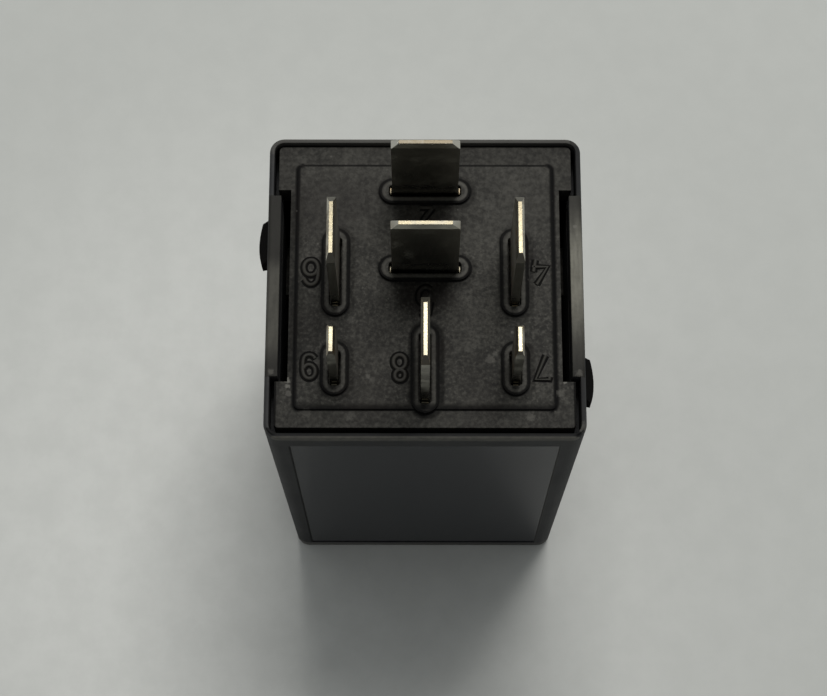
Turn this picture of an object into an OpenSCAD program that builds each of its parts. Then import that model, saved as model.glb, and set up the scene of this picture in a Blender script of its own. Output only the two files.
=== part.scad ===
// Plug-in automotive control relay, standing on its closed end with the blade terminals up.
// Origin: centre of the closed end. +Z runs to the blades, -Y is the printed side.

/* [Cover] */
// Width and depth of the cover at its open rim
cover_w = 30; // [29:0.5:34]
// Height of the cover from its closed end to the rim
cover_h = 50; // [48:0.5:60]
// Thickness of the side walls
cover_wall = 1.2; // [1.1:0.05:1.4]
// Thickness of the closed end
end_wall = 1.4; // [1:0.1:2]
// How far each outer wall leans in at the closed end
cover_draft = 0.45; // [0.1:0.05:0.6]
// Plan radius of the upright corners
corner_r = 1.4; // [1.2:0.1:2.4]
// Radius round the closed end
end_edge_r = 0.8; // [0.4:0.1:1]
// Chamfer round the outside of the rim
rim_chamfer = 0.25; // [0.1:0.05:0.35]
// Thickness of the lip that surrounds the base plate
lip_wall = 0.47; // [0.35:0.01:0.6]
// Length of the full-thickness strip in the middle of each side's rim
strip_len = 18.1; // [16:0.1:20]
// Depth of the smooth field sunk into the printed side
field_depth = 0.1; // [0.05:0.01:0.2]
// Width of the textured border beside the smooth field
field_border = 2.3; // [1.5:0.1:3]
// Distance from the rim to the smooth field
field_drop = 3.1; // [2.5:0.1:8]

/* [Latch lugs] */
// Length of a lug along the side
lug_len = 4.4; // [4:0.1:7]
// How far a lug stands out from the side
lug_out = 1.4; // [1:0.1:2]
// Distance from the rim down to a lug's lower face
lug_drop = 8.4; // [7:0.1:12]
// Height of a lug's sloping face
lug_rise = 3.4; // [2:0.1:5]
// Height of the upright band at a lug's outer edge
lug_band = 0.8; // [0.4:0.1:1.5]
// Distance of the -X lug's middle from the centre of the side
lug_offset = 6.55; // [5:0.05:8]
// Extra distance of the +X lug from the centre of the side
lug_stagger = 0.95; // [0:0.05:1]

/* [Base plate] */
// Thickness of the base plate
plate_t = 2.7; // [2.4:0.1:3.5]
// How far the plate's edge lies below the rim
plate_sink = 0.5; // [0.3:0.05:1]
// Gap between the plate and the lip at the sides
plate_gap = 0.45; // [0.3:0.01:0.5]
// How far the plate sits towards the far wall
plate_shift = 0.2; // [0:0.02:0.22]
// Gap between the plate and the side strips
notch_gap = 0.92; // [0.6:0.02:1.1]
// Gap at each end of a side strip
notch_end_gap = 0.57; // [0.3:0.01:0.8]
// Width of the plate's edge outside the raised panel
panel_edge = 1.85; // [1.4:0.05:2]
// Height of the raised panel above the plate's edge
panel_rise = 0.2; // [0.1:0.05:0.3]
// Height of a boss above the raised panel
boss_rise = 0.25; // [0.1:0.05:0.4]
// Rim of a boss round the blade's slot
boss_rim = 0.65; // [0.5:0.05:0.8]
// Clear space round a blade in its slot
slot_gap = 0.2; // [0.15:0.01:0.3]
// Extra length of the slot beyond a blade's edges
slot_end_gap = 0.32; // [0.2:0.02:0.5]
// Depth of the wide mouth of the slot
slot_depth = 1.1; // [0.6:0.1:1.6]

/* [Terminals] */
// Width of the wide blades
blade_w = 6.3; // [5.8:0.1:6.5]
// Width of the narrow blades
small_blade_w = 2.8; // [2.4:0.1:3.4]
// Thickness of every blade
blade_t = 0.8; // [0.6:0.05:0.9]
// Height of the wide blades above the rim
blade_rise = 11.8; // [8:0.1:13]
// Height of the narrow blades above the rim
small_blade_rise = 8.8; // [6:0.1:10]
// Chamfer at each corner of a wide blade's tip
tip_chamfer = 0.7; // [0.3:0.05:1.2]
// Chamfer at each corner of a narrow blade's tip
small_tip_chamfer = 0.25; // [0.1:0.05:0.6]
// Bevel on both faces at the tip
tip_bevel = 0.22; // [0.1:0.02:0.28]
// Distance of the outer blades from the cover's sides
outer_in = 6.52; // [6.2:0.02:7]
// Place of the two outer wide blades along the plate
outer_y = 1.34; // [1:0.02:1.6]
// Place of the middle wide blade
middle_y = 1.76; // [1.6:0.02:1.9]
// Distance of the far wide blade from the far side
far_in = 5.42; // [5.2:0.02:5.6]
// Distance of the near row of blades from the near side
near_in = 6.8; // [6.2:0.02:7]

/* [Circuit board] */
// Thickness of the circuit board
board_t = 1.6; // [1:0.1:1.8]
// Gap between the circuit board's edges and the walls
board_side_gap = 0.8; // [0.5:0.1:1.2]
// Gap between the circuit board and the closed end
board_end_gap = 2.9; // [2:0.1:4]
// Gap between the board and the base plate
board_gap = 1.5; // [1.2:0.1:2]
// Distance of the board's back face from the near side
board_in = 12; // [11.8:0.05:12.2]

/* [Magnet] */
// Diameter of the winding
coil_d = 12.6; // [10:0.2:13]
// Clear space between the yoke's back and the wall
yoke_clear = 1.1; // [0.9:0.1:1.5]
// Diameter of the core
core_d = 5; // [4:0.1:6]
// Diameter of the pole face
pole_d = 9; // [8:0.1:9.6]
// Thickness of the pole face
pole_t = 0.9; // [0.6:0.05:1]
// Thickness of the bobbin's flanges
flange_t = 1; // [0.8:0.05:1.1]
// Thickness of the yoke
yoke_t = 1.2; // [1:0.05:1.3]
// Width of the yoke and the armature
magnet_w = 12; // [10:0.2:12.6]
// Thickness of the armature
armature_t = 1.2; // [1:0.05:1.3]
// Distance from the base plate down to the yoke's foot
yoke_drop = 32.6; // [32:0.1:34]
// Outside diameter of the return spring
spring_d = 2.6; // [2:0.1:2.8]
// Wire of the return spring
spring_wire = 0.4; // [0.3:0.02:0.45]
// Whole turns of the return spring
spring_turns = 9; // [6:1:10]

/* [Contacts] */
// Open gap between the contacts
contact_gap = 0.9; // [0.9:0.02:1.2]
// Diameter of the moving contact
contact_d = 2.4; // [1.8:0.1:2.8]
// Thickness of each contact's head
contact_t = 0.5; // [0.4:0.05:0.6]
// Thickness of the contact spring
leaf_t = 0.2; // [0.12:0.02:0.3]
// Distance from the base plate down to the contacts
contact_drop = 5.3; // [4.8:0.1:6.5]
// Travel of the armature in degrees
armature_swing = 1.7; // [1:0.1:1.7]

/* [Hidden] */
$fn = 48;
hull_fn = 32;
eps = 0.01;

// Cover
half_w = cover_w / 2;
field_end = 2.2;
groove_depth = 0.4;
groove_gap = 0.3;
inside_r = corner_r - 0.8;
inside_edge_r = 0.5;

// Base plate
plate_top = cover_h - plate_sink;
plate_bottom = plate_top - plate_t;
plate_half = half_w - lip_wall - plate_gap;
plate_r = 0.45;
panel_half = plate_half - panel_edge;
panel_shift = plate_shift / 2;
strip_x = half_w - cover_wall;
notch_x = strip_x - notch_gap;
notch_half = strip_len / 2 + notch_end_gap;
panel_top = plate_top + panel_rise;
boss_top = panel_top + boss_rise;
fit = 0.04;
panel_r = 0.5;
boss_end = 0.45;
point_len = 1.9;
point_overlap = 0.95;
slot_r = 0.35;
neck_gap = 0.3;
rib_len = 22;
rib_t = 0.9;
rib_h = 1.2;
rib_gap = 0.25;
arm_t = 1.1;
arm_w = 5;
arm_y = 4.5;
arm_len = 7;
nose_h = 1.6;
nose_high = 1.3;
nose_flat = 0.5;
nose_gap = 0.12;
guide_t = 1.1;
guide_len = 6.5;
guide_grip = 1.2;
guide_past = 0.25;

// Terminals
outer_x = half_w - outer_in;
near_y = near_in - half_w;
far_y = half_w - far_in;
wing = 0.6;
wing_h = 1;
bevel_h = 2.7 * tip_bevel;
finger_h = 1.2;
finger_z = plate_bottom - 4.2;
small_finger_z = plate_bottom - 7.8;
finger_past = 0.6;
leg_w = 1.6;
leg_gap = 0.3;
carrier_w = 5.2;
carrier_past = 2.6;
far_tail_w = 4.8;
far_tail_drop = 6.3;
shunt_w = far_tail_w * 0.625;

// Magnet: the stack along Y is set out from the middle blade, which carries the fixed contact
contact_z = plate_bottom - contact_drop;
fixed_face_y = middle_y - blade_t / 2 - contact_t;
leaf_back_y = fixed_face_y - contact_gap - contact_t;
armature_back_y = leaf_back_y + armature_t;
hinge_gap = 0.05;
hinge_y = armature_back_y + hinge_gap;
yoke_foot_z = plate_bottom - yoke_drop;
hinge_z = yoke_foot_z;
flange_w = coil_d + 3;
flange_h = coil_d + 1.4;
coil_z = hinge_z + 0.5 + flange_h / 2;
pole_top = coil_z + pole_d / 2;
pole_gap = 0.05 + (pole_top - hinge_z) * sin(armature_swing);
pole_y = armature_back_y + pole_gap;
flange_front_y = pole_y + pole_t;
winding_y = flange_front_y + flange_t;
yoke_back_y = inside_half(yoke_foot_z) - yoke_clear - yoke_t;
flange_rear_y = yoke_back_y - flange_t;
neck_w = 7;
tenon_w = 3;
tenon_h = 1.5;
armature_top = pole_top + 1;
tail_w = 4;
spring_z = hinge_z - 3 * yoke_t;
tail_end = spring_z - yoke_t;
spring_span = 8.6;
anchor_y = hinge_y + spring_span;
hook_hole = 2.75 * spring_wire;
stop_gap = 0.05;
coil_pin_d = 0.7;
coil_pin_x = flange_w / 2 - 0.8;
coil_pin_z = coil_z + flange_h / 2 - 1.8;
pin_seat = 0.2;
tube_d = core_d + 1.5;
rivet_d = 1.5;
rivet_head = 2.4;
rivet_h = 0.4;
contact_rim = 0.3;
fixed_rim = 0.35;
fixed_extra = 0.4;

// Circuit board
board_y = board_in - half_w;
board_front = board_y - board_t;
board_top = plate_bottom - board_gap;
board_bottom = end_wall + board_end_gap;
board_half = inside_half(board_bottom) - board_side_gap;
lead_d = 0.6;
hole_gap = 0.15;
lead_past = 0.65;

// ---------- Shared shapes ----------

// Flat rectangle with rounded corners, centred
module round_rect(w, d, r) {
    square([w - 2 * r, d], center = true);
    square([w, d - 2 * r], center = true);
    for (x = [-1, 1], y = [-1, 1])
        translate([x * (w / 2 - r), y * (d / 2 - r)])
            circle(r);
}

// Flat shape with semicircular ends along Y, centred
module obround(w, len) {
    square([w, len - w], center = true);
    for (s = [-1, 1])
        translate([0, s * (len - w) / 2])
            circle(w / 2);
}

// Cylinder along Y, from y0 to y1
module rod_y(d, y0, y1) {
    translate([0, y0, 0])
        rotate([-90, 0, 0])
            cylinder(d = d, h = y1 - y0);
}

// Box given by its lowest and highest corners
module block(lo, hi) {
    translate(lo)
        cube(hi - lo);
}

// ---------- Cover ----------

// Half the cover's inside width at height z
function inside_half(z) = half_w - cover_wall - cover_draft * (cover_h - z) / cover_h;

// One corner of the closed end, and the same corner at the rim
module end_corner(r, edge_r) {
    rotate_extrude($fn = hull_fn)
        intersection() {
            translate([r - edge_r, 0])
                circle(edge_r, $fn = hull_fn);
            translate([0, -edge_r])
                square([r, 2 * edge_r]);
        }
}

// Drafted box with round corners: half widths at the bottom and top, corner and bottom edge radii
module drafted_box(z0, z1, half_0, half_1, r, edge_r, chamfer) {
    hull() {
        for (x = [-1, 1], y = [-1, 1]) {
            translate([x * (half_0 - r), y * (half_0 - r), z0 + edge_r])
                end_corner(r, edge_r);
            translate([x * (half_1 - r), y * (half_1 - r), z1 - chamfer - eps])
                cylinder(r = r, h = eps, $fn = hull_fn);
            translate([x * (half_1 - r), y * (half_1 - r), z1 - eps])
                cylinder(r = r - chamfer, h = eps, $fn = hull_fn);
        }
    }
}

// Latch lug on the +X side: arched in plan, sloping face above, flat face below
module lug() {
    tip = half_w + lug_out;
    arch = 0.37;
    root_taper = 0.3;
    tip_flare = 0.05;
    chord = lug_len / 2;
    arch_r = (chord * chord + arch * arch) / (2 * arch);
    root = half_w - cover_wall / 2;
    low = cover_h - lug_drop;
    top = low + lug_band + lug_rise;
    intersection() {
        translate([0, 0, low])
            linear_extrude(lug_rise + lug_band)
                intersection() {
                    polygon([
                        [root, -chord + root_taper], [tip, -chord - tip_flare],
                        [tip, chord + tip_flare], [root, chord - root_taper]
                    ]);
                    translate([tip - arch_r, 0])
                        circle(arch_r, $fn = 120);
                }
        translate([0, lug_len, 0])
            rotate([90, 0, 0])
                linear_extrude(2 * lug_len)
                    polygon([
                        [root, low], [tip, low], [tip, low + lug_band],
                        [half_w - cover_wall / 4, top], [root, top]
                    ]);
    }
}

// Seat for the base plate, with the strips left standing in the middle of the sides
module plate_seat() {
    seat_w = 2 * (half_w - lip_wall);
    translate([0, 0, plate_bottom])
        linear_extrude(plate_t + plate_sink + 1)
            difference() {
                round_rect(seat_w, seat_w, corner_r - lip_wall);
                for (s = [-1, 1])
                    translate([s * half_w, 0])
                        square([2 * cover_wall, strip_len], center = true);
            }
}

// Groove inside a side wall for the nose of a snap arm
module snap_groove() {
    z = plate_bottom - arm_len;
    block(
        [inside_half(z) - 1, arm_y - arm_w / 2 - groove_gap, z - groove_gap],
        [inside_half(z) + groove_depth, arm_y + arm_w / 2 + groove_gap, z + nose_h + groove_gap]
    );
}

module cover() {
    end_half = half_w - cover_draft;
    field_w = 2 * (half_w - field_border);
    lean = atan(cover_draft / cover_h);
    color("#3c3c3e")
        difference() {
            union() {
                drafted_box(0, cover_h, end_half, half_w, corner_r, end_edge_r, rim_chamfer);
                translate([0, -lug_offset - lug_stagger, 0])
                    lug();
                mirror([1, 0, 0])
                    translate([0, lug_offset, 0])
                        lug();
            }
            drafted_box(end_wall, cover_h + 1, end_half - cover_wall, half_w - cover_wall,
                inside_r, inside_edge_r, 0);
            plate_seat();
            translate([0, -half_w, cover_h])
                rotate([lean, 0, 0])
                    translate([-field_w / 2, -1, -cover_h + field_end])
                        cube([field_w, 1 + field_depth, cover_h - field_end - field_drop]);
            snap_groove();
            mirror([1, 0, 0])
                snap_groove();
        }
}

// ---------- Base plate ----------

// Places of the blades: [x, y, width, turned so that the wide faces look along X]
pin_2 = [0, far_y, blade_w, false];
pin_4 = [outer_x, outer_y, blade_w, true];
pin_5 = [0, middle_y, blade_w, false];
pin_6 = [-outer_x, outer_y, blade_w, true];
pin_7 = [outer_x, near_y, small_blade_w, true];
pin_8 = [0, near_y, blade_w, true];
pin_9 = [-outer_x, near_y, small_blade_w, true];
PINS = [pin_2, pin_4, pin_5, pin_6, pin_7, pin_8, pin_9];

// Moves its children to a blade's place, their long side along Y when the blade is turned
module at_pin(p) {
    translate([p[0], p[1], 0])
        rotate([0, 0, p[3] ? 0 : 90])
            children();
}

// Plan of a boss
module boss_plan(width) {
    boss_w = blade_t + 2 * (slot_gap + boss_rim);
    obround(boss_w, width + 2 * slot_end_gap + 2 * boss_rim + boss_end);
}

// Pointed nose on the near end of the middle near boss
module boss_point() {
    w = blade_t + 2 * (slot_gap + boss_rim);
    arc_r = (point_len * point_len + w * w / 4) / w;
    shoulder = blade_w / 2 + slot_end_gap - point_overlap;
    translate([0, -shoulder])
        intersection() {
            translate([arc_r - w / 2, 0])
                circle(arc_r);
            translate([w / 2 - arc_r, 0])
                circle(arc_r);
            translate([-w, -2 * w])
                square([2 * w, 2 * w]);
        }
}

// Slot through the plate: wide mouth on the blade side, close fit below
module slot(width) {
    translate([0, 0, boss_top - slot_depth])
        linear_extrude(slot_depth + 1)
            round_rect(blade_t + 2 * slot_gap, width + 2 * slot_end_gap, slot_r);
    translate([0, 0, plate_bottom + plate_t / 2])
        cube([blade_t + 2 * fit, width + 2 * fit, 2 * plate_t], center = true);
}

// Snap arm under the plate's +X edge
module snap_arm() {
    z = plate_bottom - arm_len;
    tip = inside_half(z) + groove_depth - nose_gap;
    translate([0, arm_y + arm_w / 2, 0])
        rotate([90, 0, 0])
            linear_extrude(arm_w)
                polygon([
                    [notch_x - arm_t, plate_bottom + eps], [notch_x, plate_bottom + eps],
                    [notch_x, z + nose_h], [tip, z + nose_high],
                    [tip, z + nose_high - nose_flat], [notch_x, z], [notch_x - arm_t, z]
                ]);
}

// Guide under the plate that holds one edge of the circuit board
module board_guide() {
    edge = board_half;
    difference() {
        block(
            [edge - guide_grip, board_front - guide_t, plate_bottom - guide_len],
            [edge + guide_past, board_y + guide_t, plate_bottom + eps]
        );
        block(
            [0, board_front - fit, plate_bottom - guide_len - 1],
            [edge + fit, board_y + fit, board_top + fit]
        );
    }
}

module base_plate() {
    rib_y = inside_half(plate_bottom) - rib_gap;
    color("#3b3935")
        difference() {
            union() {
                difference() {
                    translate([0, plate_shift, plate_bottom])
                        linear_extrude(plate_t)
                            round_rect(2 * plate_half, 2 * plate_half, plate_r);
                    for (s = [-1, 1])
                        translate([s * (notch_x + half_w), plate_shift, plate_bottom + plate_t / 2])
                            cube([2 * half_w, 2 * notch_half, plate_t + 1], center = true);
                }
                translate([0, panel_shift, plate_top - eps])
                    linear_extrude(panel_rise + eps)
                        round_rect(2 * panel_half, 2 * panel_half, panel_r);
                translate([0, 0, plate_top - eps])
                    linear_extrude(boss_top - plate_top + eps) {
                        for (p = PINS)
                            translate([p[0], p[1]])
                                rotate(p[3] ? 0 : 90)
                                    boss_plan(p[2]);
                        translate([pin_8[0], pin_8[1]])
                            boss_point();
                    }
                for (s = [-1, 1])
                    translate([0, s * (rib_y - rib_t / 2), plate_bottom - rib_h / 2 + eps / 2])
                        cube([rib_len, rib_t, rib_h + eps], center = true);
                snap_arm();
                mirror([1, 0, 0])
                    snap_arm();
                board_guide();
                mirror([1, 0, 0])
                    board_guide();
            }
            for (p = PINS)
                at_pin(p)
                    slot(p[2]);
            block(
                [-tenon_w / 2 - fit, yoke_back_y - fit, plate_bottom - 1],
                [tenon_w / 2 + fit, yoke_back_y + yoke_t + fit, plate_bottom + tenon_h + fit]
            );
            block(
                [-neck_w / 2 - neck_gap, yoke_back_y - neck_gap, plate_bottom - rib_h - 1],
                [neck_w / 2 + neck_gap, yoke_back_y + yoke_t + neck_gap, plate_bottom]
            );
        }
}

// ---------- Terminals ----------

// Flat blade standing in the YZ plane: tip chamfers in its width, bevels on both faces
module blade(width, top, chamfer) {
    foot = plate_bottom - wing_h / 2;
    intersection() {
        rotate([90, 0, 90])
            translate([0, 0, -blade_t / 2])
                linear_extrude(blade_t)
                    polygon([
                        [-width / 2, foot], [width / 2, foot],
                        [width / 2, top - chamfer], [width / 2 - chamfer, top],
                        [-width / 2 + chamfer, top], [-width / 2, top - chamfer]
                    ]);
        translate([0, width, 0])
            rotate([90, 0, 0])
                linear_extrude(2 * width)
                    polygon([
                        [-blade_t / 2, foot], [blade_t / 2, foot],
                        [blade_t / 2, top - bevel_h], [blade_t / 2 - tip_bevel, top],
                        [-blade_t / 2 + tip_bevel, top], [-blade_t / 2, top - bevel_h]
                    ]);
    }
}

// Shoulders that stop a blade under the plate
module shoulders(width) {
    translate([0, 0, plate_bottom - wing_h / 2])
        cube([blade_t, width + 2 * wing, wing_h], center = true);
}

// Stamped terminal with a finger that runs through the circuit board.
// side = 1 when the board lies towards +Y of the blade, -1 when it lies towards -Y
module board_terminal(p, top, chamfer, finger_low, side) {
    near_edge = side * p[2] / 2;
    reach = side > 0 ? board_y + finger_past - p[1] : board_front - finger_past - p[1];
    low = side > 0
        ? min(near_edge, board_front - leg_gap - p[1]) - leg_w
        : max(near_edge, board_y + leg_gap - p[1]);
    inner = side > 0 ? low : low + leg_w;
    color("#b9b3a2")
        translate([p[0], p[1], 0]) {
            blade(p[2], top, chamfer);
            shoulders(p[2]);
            block(
                [-blade_t / 2, low, finger_low],
                [blade_t / 2, low + leg_w, plate_bottom - wing_h / 2]
            );
            block(
                [-blade_t / 2, min(reach, inner), finger_low],
                [blade_t / 2, max(reach, inner), finger_low + finger_h]
            );
        }
}

// Stamped terminal whose tail hangs straight down, seen across X
module tail_terminal(p, tail_w, tail_low, hole_z, hole_d) {
    color("#b9b3a2")
        difference() {
            union() {
                at_pin(p) {
                    blade(p[2], cover_h + blade_rise, tip_chamfer);
                    shoulders(p[2]);
                }
                block(
                    [p[0] - tail_w / 2, p[1] - blade_t / 2, tail_low],
                    [p[0] + tail_w / 2, p[1] + blade_t / 2, plate_bottom - wing_h / 2]
                );
            }
            if (hole_d > 0)
                translate([p[0], 0, hole_z])
                    rod_y(hole_d, p[1] - 2, p[1] + 2);
        }
}

module terminal_2() {
    tail_terminal(pin_2, far_tail_w, plate_bottom - far_tail_drop, 0, 0);
}

module terminal_4() {
    board_terminal(pin_4, cover_h + blade_rise, tip_chamfer, finger_z, -1);
}

module terminal_5() {
    tail_terminal(pin_5, carrier_w, contact_z - carrier_past, contact_z, rivet_d + 2 * fit);
}

module terminal_6() {
    board_terminal(pin_6, cover_h + blade_rise, tip_chamfer, finger_z, -1);
}

module terminal_7() {
    board_terminal(pin_7, cover_h + small_blade_rise, small_tip_chamfer, small_finger_z, 1);
}

module terminal_8() {
    board_terminal(pin_8, cover_h + blade_rise, tip_chamfer, finger_z, 1);
}

module terminal_9() {
    board_terminal(pin_9, cover_h + small_blade_rise, small_tip_chamfer, small_finger_z, 1);
}

// ---------- Circuit board ----------

// Places of the leads on the board, as [x, drop below the board's top edge]
capacitor_at = [4.7 - board_half, 21.5];
capacitor_d = 8;
capacitor_len = 11.5;
capacitor_pitch = 3.5;
capacitor_lead = 1.5;
part_gap = 0.2;
film_at = [board_half - 5.8, 21.2];
film_size = [7.2, 7, 3.6];
film_pitch = 5;
chip_at = [board_half - 8.2, 29.2];
chip_size = [9.6, 3.2, 6.4];
chip_pitch = 2.54;
chip_row = 7.62;
resistor_x = 5.6 - board_half;
resistor_drops = [9.6, 12.7, 15.8];
resistor_pitch = 9;
resistor_size = [2.3, 6.2];
diode_at = [board_half - 7, 10.4];
diode_pitch = 8;
diode_size = [2.2, 4.4];
transistor_at = [board_half - 6.6, 14.6];
transistor_pitch = 1.9;

// Round hole across the board at x and a drop below its top edge
module board_hole(x, drop, d) {
    translate([x, 0, board_top - drop])
        rod_y(d, board_front - 1, board_y + 1);
}

// Rectangular hole across the board for a terminal's finger
module finger_hole(x, low) {
    block(
        [x - blade_t / 2 - hole_gap, board_front - 1, low - hole_gap],
        [x + blade_t / 2 + hole_gap, board_y + 1, low + finger_h + hole_gap]
    );
}

module circuit_board() {
    hole = lead_d + 2 * hole_gap;
    color("#2f5d3a")
        difference() {
            block([-board_half, board_front, board_bottom], [board_half, board_y, board_top]);
            for (x = [-outer_x, 0, outer_x])
                finger_hole(x, finger_z);
            for (x = [-outer_x, outer_x])
                finger_hole(x, small_finger_z);
            for (s = [-1, 1]) {
                translate([s * coil_pin_x, 0, coil_pin_z])
                    rod_y(coil_pin_d + 2 * hole_gap, board_front - 1, board_y + 1);
                board_hole(capacitor_at[0] + s * capacitor_pitch / 2, capacitor_at[1] - capacitor_lead, hole);
                board_hole(film_at[0] + s * film_pitch / 2, film_at[1], hole);
                board_hole(diode_at[0] + s * diode_pitch / 2, diode_at[1], hole);
                for (drop = resistor_drops)
                    board_hole(resistor_x + s * resistor_pitch / 2, drop, hole);
                for (i = [-1.5:1:1.5])
                    board_hole(chip_at[0] + i * chip_pitch, chip_at[1] + s * chip_row / 2, hole);
            }
            for (i = [-1:1:1])
                board_hole(transistor_at[0] + i * transistor_pitch, transistor_at[1], hole);
        }
}

// Axial part lying on the board: round body, two leads bent into the board
module axial_part(x, drop, pitch, size) {
    y = board_front - size[0] / 2 - part_gap;
    translate([x, 0, board_top - drop]) {
        translate([-size[1] / 2, y, 0])
            rotate([0, 90, 0])
                cylinder(d = size[0], h = size[1]);
        translate([-pitch / 2, y, 0])
            rotate([0, 90, 0])
                cylinder(d = lead_d, h = pitch);
        for (s = [-1, 1])
            translate([s * pitch / 2, 0, 0]) {
                rod_y(lead_d, y, board_y + lead_past);
                translate([0, y, 0])
                    sphere(d = lead_d);
            }
    }
}

module resistor(drop) {
    color("#c9b48c")
        axial_part(resistor_x, drop, resistor_pitch, resistor_size);
}

module resistor_1() {
    resistor(resistor_drops[0]);
}

module resistor_2() {
    resistor(resistor_drops[1]);
}

module resistor_3() {
    resistor(resistor_drops[2]);
}

module diode() {
    color("#202020")
        axial_part(diode_at[0], diode_at[1], diode_pitch, diode_size);
}

// Electrolytic capacitor lying along the board, its leads bent into the board above it
module timing_capacitor() {
    y = board_front - capacitor_d / 2 - part_gap;
    color("#1d2b4a")
        translate([capacitor_at[0], y, board_top - capacitor_at[1]]) {
            difference() {
                translate([0, 0, -capacitor_len])
                    cylinder(d = capacitor_d, h = capacitor_len);
                translate([0, 0, -1.6])
                    rotate_extrude()
                        translate([capacitor_d / 2 + 0.15, 0])
                            circle(0.4);
            }
            for (s = [-1, 1])
                translate([s * capacitor_pitch / 2, 0, 0]) {
                    cylinder(d = lead_d, h = capacitor_lead);
                    translate([0, 0, capacitor_lead])
                        sphere(d = lead_d);
                    translate([0, 0, capacitor_lead])
                        rod_y(lead_d, 0, board_y + lead_past - y);
                }
        }
}

module film_capacitor() {
    color("#8a2f23")
        translate([film_at[0], board_front - film_size[1] / 2 - part_gap, board_top - film_at[1]]) {
            cube(film_size, center = true);
            for (s = [-1, 1])
                translate([s * film_pitch / 2, 0, 0])
                    rod_y(lead_d, 0, film_size[1] / 2 + part_gap + board_t + lead_past);
        }
}

// Eight-leg chip: moulded body, legs folded down into two rows of holes
module control_chip() {
    stand_off = 0.5;
    pin_w = 0.5;
    pin_t = 0.3;
    mark_d = 1.6;
    body_y = board_front - stand_off - chip_size[1] / 2;
    color("#1b1b1c")
        translate([chip_at[0], 0, board_top - chip_at[1]]) {
            difference() {
                translate([0, body_y, 0])
                    cube(chip_size, center = true);
                translate([-chip_size[0] / 2, 0, 0])
                    rod_y(mark_d, body_y - chip_size[1], body_y - chip_size[1] / 2 + pin_t);
            }
            for (i = [-1.5:1:1.5], s = [-1, 1])
                translate([i * chip_pitch, 0, 0]) {
                    translate([0, body_y, s * (chip_row / 4 + pin_t / 4)])
                        cube([pin_w, pin_t, chip_row / 2 + pin_t / 2], center = true);
                    translate([0, (body_y + board_y + lead_past) / 2, s * chip_row / 2])
                        cube([pin_w, board_y + lead_past - body_y, pin_t], center = true);
                }
        }
}

// Small transistor standing off the board, flat side up
module driver_transistor() {
    body_d = 4.6;
    body_h = 4.6;
    stand_off = 1.6;
    color("#1b1b1c")
        translate([transistor_at[0], 0, board_top - transistor_at[1]]) {
            difference() {
                rod_y(body_d, board_front - stand_off - body_h, board_front - stand_off);
                block([-body_d, board_front - 3 * body_h, body_d * 0.28], [body_d, board_front, body_d]);
            }
            for (i = [-1:1:1])
                translate([i * transistor_pitch * 0.95, 0, 0])
                    rod_y(lead_d * 0.8, board_front - stand_off - 1, board_y + lead_past);
        }
}

// ---------- Magnet ----------

// Bobbin: tube, two flanges, sockets for the coil pins, and two hooks that stop the armature
module bobbin() {
    hook_w = 1.2;
    hook_t = 0.8;
    hook_drop = 1.5;
    hook_x = magnet_w / 2 - 0.8;
    hook_z = armature_top + 0.3;
    front = leaf_back_y - stop_gap;
    color("#d8d2c0")
        difference() {
            union() {
                translate([0, 0, coil_z]) {
                    rod_y(tube_d, flange_front_y, yoke_back_y);
                    for (y = [flange_front_y, flange_rear_y])
                        translate([0, y + flange_t, 0])
                            rotate([90, 0, 0])
                                linear_extrude(flange_t)
                                    round_rect(flange_w, flange_h, 1.5);
                }
                for (s = [-1, 1])
                    translate([s * hook_x, 0, 0]) {
                        block(
                            [-hook_w / 2, front - hook_t, hook_z],
                            [hook_w / 2, flange_front_y + flange_t, coil_z + flange_h / 2]
                        );
                        block(
                            [-hook_w / 2, front - hook_t, hook_z - hook_drop],
                            [hook_w / 2, front, hook_z + eps]
                        );
                    }
            }
            translate([0, 0, coil_z])
                rod_y(core_d + 2 * fit, flange_front_y - 1, yoke_back_y + 1);
            for (s = [-1, 1])
                translate([s * coil_pin_x, 0, coil_pin_z])
                    rod_y(coil_pin_d + fit, flange_front_y - 1, winding_y - pin_seat);
        }
}

module coil_winding() {
    color("#8c4a22")
        translate([0, 0, coil_z])
            difference() {
                rod_y(coil_d, winding_y + fit, flange_rear_y - fit);
                rod_y(tube_d + 2 * fit, winding_y - 1, flange_rear_y + 1);
            }
}

// Core: shank, pole face and the head riveted behind the yoke
module core() {
    head_h = 0.6;
    head_rim = 0.6;
    color("#9a9a98")
        translate([0, 0, coil_z]) {
            rod_y(pole_d, pole_y, flange_front_y - fit);
            rod_y(core_d, pole_y, yoke_back_y + yoke_t + head_h);
            rod_y(core_d + 2 * head_rim, yoke_back_y + yoke_t, yoke_back_y + yoke_t + head_h);
        }
}

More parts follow.
